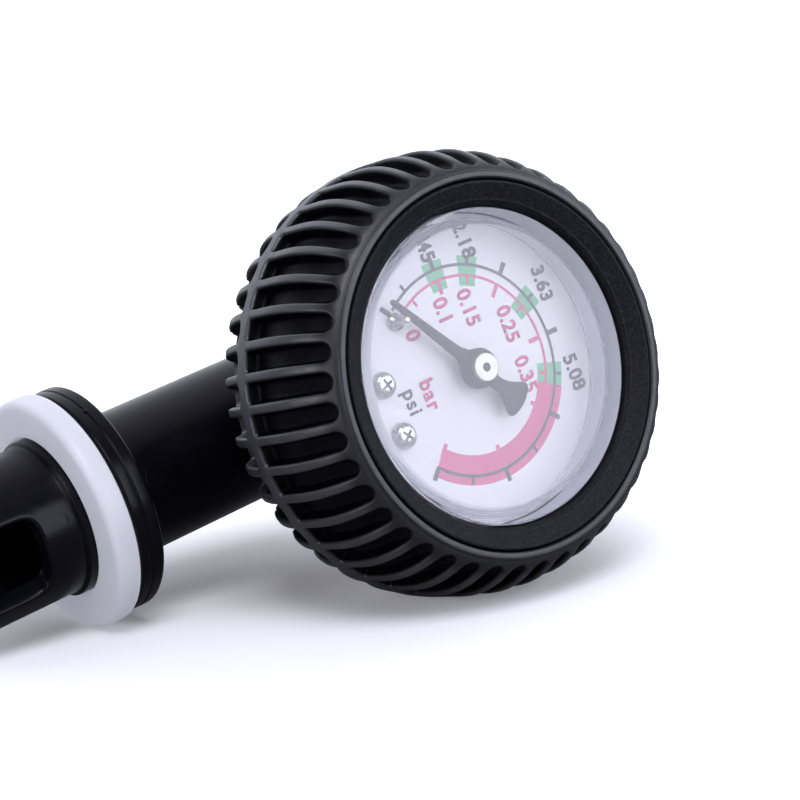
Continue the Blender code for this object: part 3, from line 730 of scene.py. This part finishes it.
BAND_FROM, BAND_TO = 28.5, 135.6
RING_FROM, RING_TO = bar_angle(0.02), 135.8


def dial():
    """The white plate under the print."""
    holes = [((0, 0), 1.4)] + [(dial_polar(*at), 1.2) for at in SCREWS_AT] + [(dial_polar(*STOP_AT), 0.75)]
    below = DIAL_Z - 0.5
    outline = rounded([(0, below), (DIAL_R, below), (DIAL_R, DIAL_Z, 0.12), (0, DIAL_Z)], 3)
    verts, faces = lathe(outline, 160)
    obj = piece("dial_face", verts, faces, FACE, stands_for=["dial_plate"], sharp=40)
    for at, r in holes:
        bore(obj, at, r, DIAL_Z - 1.5, DIAL_Z + 1.0)


def flat_print(name, outlines, z, material):
    """Flat shapes printed on the dial."""
    verts, faces = merge(*[slab(o, z, z + INK_THICK) for o in outlines])
    piece(name, verts, faces, material, sharp=30)


def tick(angle, r0, r1, width):
    """Outline of one mark of a scale."""
    a = math.radians(angle)
    ux, uy = math.sin(a), math.cos(a)
    w = width / 2
    return [(ux * r0 + uy * w, uy * r0 - ux * w), (ux * r1 + uy * w, uy * r1 - ux * w),
            (ux * r1 - uy * w, uy * r1 + ux * w), (ux * r0 - uy * w, uy * r0 + ux * w)]


def printed_scale():
    """The broad red band, the green blocks, and the two fine scales, one inside the other."""
    flat_print("scale_band_red", [arc_band(*RED_BAND, BAND_FROM, BAND_TO)], PRINT_Z, RED)
    blocks = [arc_band(*GREEN_BLOCK, bar_angle(v) - BLOCK_HALF, bar_angle(v) + BLOCK_HALF)
              for v in (0.1, 0.15, 0.25, 0.35)]
    flat_print("scale_blocks_green", blocks, GREEN_Z, GREEN)
    red = [arc_band(*RED_RING, RING_FROM, BAND_FROM)]
    for k in range(1, SCALE_STEPS):
        major = k % 2 == 0
        red.append(tick(bar_angle(0.05 * k), 11.1 if major else 11.85, 13.1, 0.62 if major else 0.4))
    flat_print("scale_red", red, FINE_Z, RED)
    dark = [arc_band(*DARK_RING, RING_FROM, RING_TO)]
    for k in range(SCALE_STEPS):
        a = bar_angle(0.05 * k) if k else ZERO_MARK
        major = k % 2 == 0
        dark.append(tick(a, 14.6, 16.5 if major else 15.75, 0.7 if major else 0.45))
    flat_print("scale_dark", dark, FINE_Z, INK)


LETTER_RISE = 0.73          # of a small b in a face one unit high
LETTER_WIDTH = 0.90
LETTER_HEIGHT = 2.35


def words(name, text, at, material, heavy=0.034):
    """Lettering set flat on the dial, narrow and bold, centred on a point."""
    curve = bpy.data.curves.new(name + "_line", "FONT")
    curve.body = text
    curve.size = 1.0
    curve.offset = heavy
    curve.space_character = 1.06 if text[0].isdigit() else 1.16
    curve.resolution_u = 6
    temp = bpy.data.objects.new(name + "_line", curve)
    bpy.context.scene.collection.objects.link(temp)
    graph = bpy.context.evaluated_depsgraph_get()
    flat = bpy.data.meshes.new_from_object(temp.evaluated_get(graph))
    bpy.data.objects.remove(temp)
    co = np.array([v.co[:] for v in flat.vertices])
    tall = co[:, 1].max() - max(co[:, 1].min(), 0.0) if text[0].isdigit() else LETTER_RISE
    scale = LETTER_HEIGHT / tall
    co[:, 0] = (co[:, 0] - (co[:, 0].min() + co[:, 0].max()) / 2) * scale * LETTER_WIDTH + at[0]
    co[:, 1] = co[:, 1] * scale + at[1] - LETTER_HEIGHT / 2
    bm = bmesh.new()
    bm.from_mesh(flat)
    for v, c in zip(bm.verts, co):
        v.co = (c[0] * MM, c[1] * MM, FINE_Z * MM)
    bmesh.ops.dissolve_limit(bm, angle_limit=0.01, verts=bm.verts, edges=bm.edges)
    up = bmesh.ops.extrude_face_region(bm, geom=bm.faces[:])
    for v in [g for g in up["geom"] if isinstance(g, bmesh.types.BMVert)]:
        v.co.z += INK_THICK * MM
    bmesh.ops.recalc_face_normals(bm, faces=bm.faces)
    # the extrusion leaves its faces in no fixed order
    bm.verts.index_update()
    in_order = sorted(bm.faces, key=lambda face: sorted(v.index for v in face.verts))
    rank = {face: k for k, face in enumerate(in_order)}
    bm.faces.sort(key=lambda face: rank[face])
    mesh = bpy.data.meshes.new(name)
    bm.to_mesh(mesh)
    bm.free()
    mesh.transform(DIAL)
    mesh.materials.append(material)
    obj = bpy.data.objects.new(name, mesh)
    bpy.context.scene.collection.objects.link(obj)
    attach(obj, "gauge")


def numbers():
    dark = (("1.45", (-18.3, 0.0)), ("2.18", (-16.8, 6.7)), ("3.63", (-6.8, 16.9)), ("5.08", (6.7, 17.0)))
    red = (("0", (-7.6, -6.7)), ("0.1", (-9.2, -0.7)), ("0.15", (-8.0, 3.5)), ("0.25", (-3.6, 8.9)),
           ("0.35", (3.9, 8.9)))
    for kind, values, ink_used in (("dark", dark, INK), ("red", red, RED)):
        for letter, (text, at) in zip("abcde", values):
            words(f"number_{kind}_{letter}", text, at, ink_used)
    words("unit_bar", "bar", (0.8, -7.4), RED, heavy=0.03)
    words("unit_psi", "psi", (0.6, -10.5), INK, heavy=0.022)


def furniture():
    """The dial's two screws and the pointer's stop."""
    head = rounded([(0, -10.8), (0.8, -10.8), (0.8, DIAL_Z + 0.2), (1.85, DIAL_Z + 0.2, 0.05),
                    (1.85, -6.25, 0.25), (1.45, -5.62, 0.4), (0.9, -5.42, 0.3), (0, -5.38)], 4)
    for side, at, turn in zip(("left", "right"), SCREWS_AT, (20.0, 38.0)):
        verts, faces = lathe(head, 48, at=dial_polar(*at))
        obj = piece("screw_" + side, verts, faces, STEEL, stands_for=["dial_screw_" + side])
        for quarter in (0, 1):
            recess_arm(obj, *dial_polar(*at), math.radians(turn) + quarter * math.pi / 2)
    post = rounded([(0, -8.6), (0.45, -8.6), (0.45, -6.8), (1.25, -6.8, 0.05), (1.22, -6.35, 0.15),
                    (0.5, -6.05, 0.2), (0.5, -3.9, 0.15), (0.3, -3.7, 0.1), (0, -3.7)], 3)
    verts, faces = lathe(post, 32, at=dial_polar(*STOP_AT))
    piece("stop_post", verts, faces, STEEL, stands_for=["stop_pin"])


def recess_arm(obj, x, y, turn):
    """One arm of a cross recess, narrowing downwards, cut in a screw's head."""
    ux, uy = math.cos(turn), math.sin(turn)
    verts = []
    for half_long, half_wide, z in ((1.15, 0.24, -5.0), (0.5, 0.16, -6.35)):
        for a, b in ((-1, -1), (1, -1), (1, 1), (-1, 1)):
            along, across = a * half_long, b * half_wide
            verts.append((x + ux * along - uy * across, y + uy * along + ux * across, z))
    faces = [[0, 1, 2, 3], [7, 6, 5, 4]] + [[i, i + 4, (i + 1) % 4 + 4, (i + 1) % 4] for i in range(4)]
    cut_away(obj, verts, faces)


def pointer():
    """The hand, drawn along its rest direction, with its hub, and the bright cap on the hub."""
    a = math.radians(POINTER_REST)
    ux, uy = math.sin(a), math.cos(a)

    def spot(along, across):
        return (along * ux - across * uy, along * uy + across * ux)

    half = [(16.4, 0.0), (16.36, 0.2), (16.2, 0.34), (15.9, 0.42), (12.0, 0.55), (8.0, 0.69), (4.5, 0.82),
            (3.6, 0.92), (3.0, 1.25)]
    tail = [(-2.75, 1.15), (-3.3, 0.92), (-3.9, 0.92), (-4.7, 1.1), (-5.6, 1.5), (-6.4, 2.0), (-7.1, 2.48),
            (-7.5, 2.66), (-7.9, 2.65), (-8.2, 2.42), (-8.45, 1.95), (-8.65, 1.25), (-8.76, 0.6),
            (-8.8, 0.0)]
    side_a = [spot(l, w) for l, w in half] + [spot(l, w) for l, w in tail]
    side_b = [spot(l, -w) for l, w in reversed(tail[:-1])] + [spot(l, -w) for l, w in reversed(half[1:])]
    blade = slab(side_a + side_b, -5.1, -4.7, 0.08)
    hub = rounded([(0.9, -5.9), (2.35, -5.9, 0.1), (2.8, -5.4, 0.2), (2.8, -4.15, 0.2),
                   (2.55, -3.8, 0.2), (2.1, -3.78, 0.05), (0.9, -3.78)], 4)
    verts, faces = merge(blade, lathe(hub, 64))
    piece("pointer_hand", verts, faces, POINTER, body="pointer", stands_for=["pointer"])
    top = rounded([(0.0, -3.7), (2.0, -3.7), (2.05, -3.25, 0.2), (1.95, -2.9, 0.12), (1.75, -2.9),
                   (0.7, -2.9), (0.62, -2.9, 0.03), (0.58, -3.4, 0.03), (0.0, -3.4)], 4)
    verts, faces = lathe(top, 64)
    cap = piece("pointer_cap", verts, faces, HUB, body="pointer", stands_for=["pointer_bush"],
                extra=[POINTER])
    # painted shade: the cap's centre hole takes the dark pointer material, so it shows as a dark dot
    second_material(cap, lambda r, z: r < 0.6 and z > -3.5)


# ------------------------------------------------------------ adapter and washer
NOZZLE_WALL = (-53.6, -66.2)        # the stretch of wall that holds the two windows
WALL_POINTS = 144
WINDOW_HALF_WIDTH, WINDOW_Y, WINDOW_SQUARENESS = 6.1, (-54.7, -65.2), 0.42
WINDOW_ROWS = 8
BLEND = 9                           # loops between the wall's grid and the window
BOSS_FILLET = 1.4


def around(u_mm, y, r, mid_deg):
    """A point on a cylinder round the adapter's axis: u along the surface from a direction."""
    a = math.radians(mid_deg) + u_mm / NOZZLE_R
    return (r * math.sin(a), y, TUBE_Z + r * math.cos(a))


def surface_ring(y, deg, r_in, r_out, on, lift, n=40):
    """A thin ring or disc, as ejector pins and gates leave, on a cylinder round the adapter's axis."""
    rows = [(max(r_in, 0.01), -0.2), (max(r_in, 0.01), lift * 0.7), ((r_in + r_out) / 2, lift),
            (r_out - 0.02, lift * 0.6), (r_out, -0.2)]
    verts = []
    for r, h in rows:
        for i in range(n):
            a = 2 * math.pi * i / n
            b = math.radians(deg) + r * math.sin(a) / on
            verts.append(((on + h) * math.sin(b), y + r * math.cos(a), TUBE_Z + (on + h) * math.cos(b)))
    return verts, grid_faces(len(rows), n, closed=True)


def wall(profile):
    """An open stretch of the adapter's surface, its points meeting the windows' cells."""
    angles = [math.radians(WINDOW_DEG + 90.0 + 360.0 * i / WALL_POINTS) for i in range(WALL_POINTS)]
    verts = [(r * math.sin(a), y, TUBE_Z + r * math.cos(a)) for r, y in profile for a in angles]
    return verts, grid_faces(len(profile), WALL_POINTS)


def window_border():
    """The edge of half the nozzle's wall, as degrees round and y."""
    ya, yb = NOZZLE_WALL
    half = WALL_POINTS // 2
    span = [90.0 - 180.0 * i / half for i in range(half + 1)]
    rows = [k / WINDOW_ROWS for k in range(1, WINDOW_ROWS)]
    out = [(deg, ya) for deg in span] + [(-90.0, ya + (yb - ya) * t) for t in rows]
    return out + [(-deg, yb) for deg in span] + [(90.0, yb + (ya - yb) * t) for t in rows]


def window_outline(border, grow):
    """A rounded window: each point lies in the direction of one of the border's points."""
    middle = (WINDOW_Y[0] + WINDOW_Y[1]) / 2
    half_u, half_y = WINDOW_HALF_WIDTH + grow, (WINDOW_Y[0] - WINDOW_Y[1]) / 2 + grow
    out = []
    for deg, y in border:
        u = math.radians(deg) * NOZZLE_R
        t = math.atan2((y - middle) / ((NOZZLE_WALL[0] - NOZZLE_WALL[1]) / 2), u / (math.pi / 2 * NOZZLE_R))
        cu, cv = math.cos(t), math.sin(t)
        out.append((math.copysign(abs(cu) ** WINDOW_SQUARENESS, cu) * half_u,
                    middle + math.copysign(abs(cv) ** WINDOW_SQUARENESS, cv) * half_y))
    return out


def between(a, b, t):
    """Points on the way from one outline to another."""
    return [((1 - t) * u0 + t * u1, (1 - t) * y0 + t * y1) for (u0, y0), (u1, y1) in zip(a, b)]


def window_cell(mid_deg):
    """Half the nozzle's wall with its window: outer skin, the cut's rounded edges, inner skin."""
    border = window_border()
    flat = [(math.radians(deg) * NOZZLE_R, y) for deg, y in border]
    edge = [(0.75, NOZZLE_R), (0.45, NOZZLE_R), (0.28, NOZZLE_R - 0.03), (0.12, NOZZLE_R - 0.12),
            (0.02, NOZZLE_R - 0.3), (0.0, NOZZLE_R - 0.6), (0.0, BORE_R + 0.3), (0.08, BORE_R + 0.08),
            (0.25, BORE_R)]
    first, last = (window_outline(border, edge[k][0]) for k in (0, -1))
    loops = [(between(flat, first, k / BLEND), NOZZLE_R) for k in range(BLEND)]
    loops += [(window_outline(border, grow), r) for grow, r in edge]
    loops += [(between(last, flat, k / BLEND), BORE_R) for k in range(1, BLEND + 1)]
    verts = [around(u, y, r, mid_deg) for loop, r in loops for u, y in loop]
    return verts, grid_faces(len(loops), len(border))


def adapter():
    rim, groove = FLANGE_R - 0.05, FLANGE_R - 0.16
    outer = rounded([
        (0.02, 1.8), (9.6, 1.8, 1.2), (TUBE_R, -0.2, 0.9), (TUBE_R, FLANGE_Y[0], 0.6),
        (FLANGE_R - 0.3, FLANGE_Y[0], 0.1), (FLANGE_R, FLANGE_Y[0] - 0.35, 0.15), (FLANGE_R, -41.95, 0.04),
        (groove, -42.08, 0.04), (groove, -42.22, 0.04), (rim, -42.34, 0.04), (rim, FLANGE_Y[1] + 0.2, 0.15),
        (FLANGE_R - 0.3, FLANGE_Y[1], 0.1), (15.9, FLANGE_Y[1], 0.05), (15.85, -44.15, 0.1),
        (11.7, -44.15, 0.2), (11.7, -48.95, 0.18), (11.1, -49.25, 0.2), (NOZZLE_R, NOZZLE_WALL[0])], 4)
    tip = rounded([(NOZZLE_R, NOZZLE_WALL[1]), (NOZZLE_R, NOZZLE_END + 0.6, 0.3), (10.5, NOZZLE_END, 0.3),
                   (BORE_R + 0.4, NOZZLE_END, 0.3), (BORE_R, -67.6, 0.3), (BORE_R, NOZZLE_WALL[1])], 4)
    inner = [(BORE_R, NOZZLE_WALL[0]), (BORE_R, -30.0), (BORE_R, -5.0), (7.1, -3.6), (0.02, -3.0)]
    verts, faces = merge(wall(outer), wall(tip), wall(inner),
                         *[window_cell(WINDOW_DEG + half) for half in (0.0, 180.0)])
    piece("adapter", verts, faces, ADAPTER, stands_for=["adapter_body"])


def adapter_boss(n=72):
    """The boss that carries the gauge, with a fillet where it meets the tube."""
    rows = []
    for deg in range(0, 91, 15):
        t = math.radians(deg)
        out, over = BOSS_FILLET * (1 - math.sin(t)), BOSS_FILLET * (1 - math.cos(t))
        rows.append((BOSS_R + out, over - 0.04, True))
    rows += [(r, h, False) for r, h in (
        (BOSS_R, BOSS_TOP - 0.7), (BOSS_R - 0.2, BOSS_TOP - 0.2), (BOSS_R - 0.6, BOSS_TOP), (5.6, BOSS_TOP),
        (5.35, BOSS_TOP - 0.2), (5.35, TUBE_Z + 6.0))]
    verts = []
    for r, h, on_tube in rows:
        for i in range(n):
            a = 2 * math.pi * i / n
            x, y = r * math.sin(a), BOSS_Y + r * math.cos(a)
            skin = TUBE_Z + math.sqrt(max(TUBE_R ** 2 - min(abs(x), TUBE_R) ** 2, 0.0))
            verts.append((x, y, skin + h if on_tube else h))
    last = (len(rows) - 1) * n
    end = [[i, last + i, last + (i + 1) % n, (i + 1) % n] for i in range(n)]
    piece("adapter_boss", verts, grid_faces(len(rows), n) + end, ADAPTER)


def nozzle_block(u, t, y0, y1, bevel, turn, away=0.0):
    """A bevelled block in the nozzle, turned round the adapter's axis and moved out from it."""
    octagon = [(-u, y0 + bevel), (-u + bevel, y0), (u - bevel, y0), (u, y0 + bevel),
               (u, y1 - bevel), (u - bevel, y1), (-u + bevel, y1), (-u, y1 - bevel)]
    verts, faces = slab(octagon, -t, t, bevel)
    c, s = math.cos(turn), math.sin(turn)
    return [(a * c + (d + away) * s, y, TUBE_Z - a * s + (d + away) * c) for a, y, d in verts], faces


def adapter_details():
    """The valve pusher in the nozzle, the lugs beside its mouth and the marks of moulding."""
    turn = math.radians(WINDOW_DEG)
    web = nozzle_block(8.7, 0.9, -67.6, -62.5, 0.15, turn)
    outline = rounded([(0, -59.0), (1.6, -59.3, 0.3), (2.1, -60.2, 0.3), (2.1, -67.7, 0.2), (0, -67.7)], 3)
    pin = lathe(outline, 32, lying=True)
    lugs = [nozzle_block(2.0, 1.2, -67.0, -65.0, 0.3, turn + side * math.pi / 2, NOZZLE_R + 0.1)
            for side in (1, -1)]
    marks = [surface_ring(-34.7, 0.0, 2.4, 2.54, TUBE_R, 0.03),
             surface_ring(-51.5, -2.0, 0.0, 1.25, NOZZLE_R, 0.05),
             surface_ring(-42.0, -50.0, 0.0, 0.32, FLANGE_R, 0.12)]
    verts, faces = merge(web, pin, *lugs, *marks)
    piece("adapter_pin_and_lugs", verts, faces, ADAPTER)


def washer():
    y0, y1 = WASHER_Y
    outline = rounded([(12.0, y0, 0.3), (WASHER_R, y0, 0.6), (WASHER_R, y1, 1.3), (12.0, y1, 0.3)], 6)
    verts, faces = lathe(outline, 160, lying=True)
    piece("washer", verts, faces, WASHER, stands_for=["sealing_washer"], sharp=50)


boot()
case()
lens()
dial()
printed_scale()
numbers()
furniture()
pointer()
adapter()
adapter_boss()
adapter_details()
washer()

# what still shows of the imported nodes, by a word in its name; the first that fits counts
# painted shade: the arbor, seen in the cap's hole, takes the dark pointer material
LOOKS = (("screw", STEEL), ("arbor", POINTER), ("seal", RUBBER), ("bourdon", BRASS), ("tip_block", BRASS),
         ("sector", BRASS), ("plate", BRASS), ("pillar", BRASS), ("post", BRASS), ("socket", BRASS),
         ("hairspring", BRASS), ("", STEEL))
for name, obj in frame["nodes"].items():
    if not obj.hide_render:
        for holder in obj.material_slots:
            holder.material = next(look for word, look in LOOKS if word in name)


# ------------------------------------------------------------ floor, light, camera
FLOOR_HALF = 6.0
FLOOR_BOUNCE = 0.22
SHEET_GLOW = (0.03, 0.13, 0.10, 1.1)    # the floor's painted glow: from and to these distances, these strengths
FLOOR_LEAN = (-0.50, -0.42, 0.76)
TENT = (0.04, 1.3)                      # strength where it is dark and where it is lit
TENT_EDGE = (-0.1, 0.9)
BACKDROP = 1.5
COOL = (0.90, 0.90, 1.0)
COOLER = (0.85, 0.87, 1.0)
KEY_AWAY, KEY_SIDE, KEY_RADIANCE = (-0.28, -0.68, 0.86), 0.55, 7.8
FRONT_DISTANCE, FRONT_SIDE, FRONT_RADIANCE = 0.7, 0.86, 4.3
LEFT_DISTANCE, LEFT_SIDE, LEFT_RADIANCE = 0.7, 0.9, 2.3
VIEW_AZIMUTH, VIEW_HEIGHT, VIEW_ROLL = -34.1, 8.79, -6.38
VIEW_SHIFT = (12.97, 4.65)              # mm, of the camera from the dial's centre, to the left and down
VIEW_DISTANCE = 292.72
LENS_MM, SENSOR_MM = 97.57, 36.0


def mix_by_camera(tree, other, seen, out):
    """One shader for camera rays, another for all the rest."""
    path = tree.nodes.new("ShaderNodeLightPath")
    mix = tree.nodes.new("ShaderNodeMixShader")
    tree.links.new(path.outputs["Is Camera Ray"], mix.inputs["Fac"])
    tree.links.new(other, mix.inputs[1])
    tree.links.new(seen, mix.inputs[2])
    tree.links.new(mix.outputs["Shader"], out.inputs["Surface"])


def smooth_range(tree, value, ends):
    """A soft passage: from, to, and the results there."""
    node = tree.nodes.new("ShaderNodeMapRange")
    node.interpolation_type = "SMOOTHSTEP"
    for socket, end in zip(("From Min", "From Max", "To Min", "To Max"), ends):
        node.inputs[socket].default_value = end
    tree.links.new(value, node.inputs["Value"])
    return node.outputs["Result"]


def floor_material():
    mat, t, s, at = node_material("floor_look", (0.9, 0.9, 0.9), 0.6, specular=0.2)
    mottled(t, s, noise(t, at, 3, 2), (0.2, (0.93, 0.93, 0.935)), (0.8, (0.95, 0.95, 0.955)))
    # its weave leans, so light from the front left counts most
    lean = t.nodes.new("ShaderNodeCombineXYZ")
    for socket, v in zip(lean.inputs, FLOOR_LEAN):
        socket.default_value = v
    t.links.new(lean.outputs["Vector"], s.inputs["Normal"])
    # painted light: the sheet glows, more with distance, which fills its shadows for the camera
    away = t.nodes.new("ShaderNodeVectorMath")
    away.operation = "LENGTH"
    t.links.new(at, away.inputs[0])
    s.inputs["Emission Color"].default_value = (0.97, 0.97, 1.0, 1)
    t.links.new(smooth_range(t, away.outputs["Value"], SHEET_GLOW), s.inputs["Emission Strength"])
    # what the floor throws back on the object is kept low, so its underside stays dark
    dim = t.nodes.new("ShaderNodeBsdfDiffuse")
    dim.inputs["Color"].default_value = (FLOOR_BOUNCE, FLOOR_BOUNCE, FLOOR_BOUNCE, 1)
    out = next(n for n in t.nodes if n.type == "OUTPUT_MATERIAL")
    mix_by_camera(t, dim.outputs["BSDF"], s.outputs["BSDF"], out)
    return mat


def floor():
    mesh = bpy.data.meshes.new("floor")
    corners = [(x * FLOOR_HALF, y * FLOOR_HALF, 0) for x, y in ((-1, -1), (1, -1), (1, 1), (-1, 1))]
    mesh.from_pydata(corners, [], [(0, 1, 2, 3)])
    mesh.materials.append(floor_material())
    obj = bpy.data.objects.new("floor", mesh)
    bpy.context.scene.collection.objects.link(obj)


def softbox(name, at, aim, side, radiance, colour):
    """A square light panel that is equally bright whatever its size."""
    data = bpy.data.lights.new(name, "AREA")
    data.shape = "RECTANGLE"
    data.size = data.size_y = side
    data.energy = radiance * math.pi * side * side
    data.color = colour
    obj = bpy.data.objects.new(name, data)
    bpy.context.scene.collection.objects.link(obj)
    obj.location = at
    obj.rotation_mode = "QUATERNION"
    obj.rotation_quaternion = (Vector(aim) - Vector(at)).to_track_quat("-Z", "Y")


def camera():
    """The camera at the dial's left front; gives back the direction from the dial to it."""
    az, el, roll = (math.radians(v) for v in (VIEW_AZIMUTH, VIEW_HEIGHT, VIEW_ROLL))
    back = Vector((math.sin(az) * math.cos(el), -math.cos(az) * math.cos(el), math.sin(el)))
    level = Vector((math.cos(az), math.sin(az), 0))
    right = level * math.cos(roll) + back.cross(level) * math.sin(roll)
    up = back.cross(right)
    data = bpy.data.cameras.new("camera")
    data.lens = LENS_MM
    data.sensor_width = SENSOR_MM
    data.clip_start, data.clip_end = 0.01, 20.0
    cam = bpy.data.objects.new("camera", data)
    bpy.context.scene.collection.objects.link(cam)
    turn = Matrix((right, up, back)).transposed().to_4x4()
    turn.translation = ORIGIN - (right * VIEW_SHIFT[0] + up * VIEW_SHIFT[1] - back * VIEW_DISTANCE) * MM
    cam.matrix_world = turn
    bpy.context.scene.camera = cam
    return back


def tent(back):
    """The surroundings: a lit tent behind the object, dark round the camera, white to the camera."""
    world = bpy.data.worlds.new("world")
    bpy.context.scene.world = world
    world.use_nodes = True
    t = world.node_tree
    lit = t.nodes["Background"]
    coord = t.nodes.new("ShaderNodeTexCoord")
    dot = t.nodes.new("ShaderNodeVectorMath")
    dot.operation = "DOT_PRODUCT"
    dot.inputs[1].default_value = Vector((-back.x, -back.y, 0.45)).normalized()
    t.links.new(coord.outputs["Generated"], dot.inputs[0])
    lit.inputs["Color"].default_value = (0.86, 0.87, 1.0, 1)
    t.links.new(smooth_range(t, dot.outputs["Value"], TENT_EDGE + TENT), lit.inputs["Strength"])
    seen = t.nodes.new("ShaderNodeBackground")
    seen.inputs["Strength"].default_value = BACKDROP
    mix_by_camera(t, lit.outputs["Background"], seen.outputs["Background"], t.nodes["World Output"])


def lights(back):
    """A high key at the front left, a box that the window mirrors, and a weak one off the nozzle."""
    centre = (LOW + HIGH) / 2
    softbox("key", centre + Vector(KEY_AWAY), centre, KEY_SIDE, KEY_RADIANCE, COOL)
    mirror = (OUT * 2 * OUT.dot(back) - back).normalized()
    softbox("front", ORIGIN + mirror * FRONT_DISTANCE, ORIGIN, FRONT_SIDE, FRONT_RADIANCE, COOLER)
    nozzle_way = (-UP + OUT * 0.25 + Vector((0, 0, -0.02))).normalized()
    softbox("left", centre + nozzle_way * LEFT_DISTANCE, centre, LEFT_SIDE, LEFT_RADIANCE, COOL)


floor()
to_camera = camera()
tent(to_camera)
lights(to_camera)
bpy.context.scene.view_settings.view_transform = "Standard"
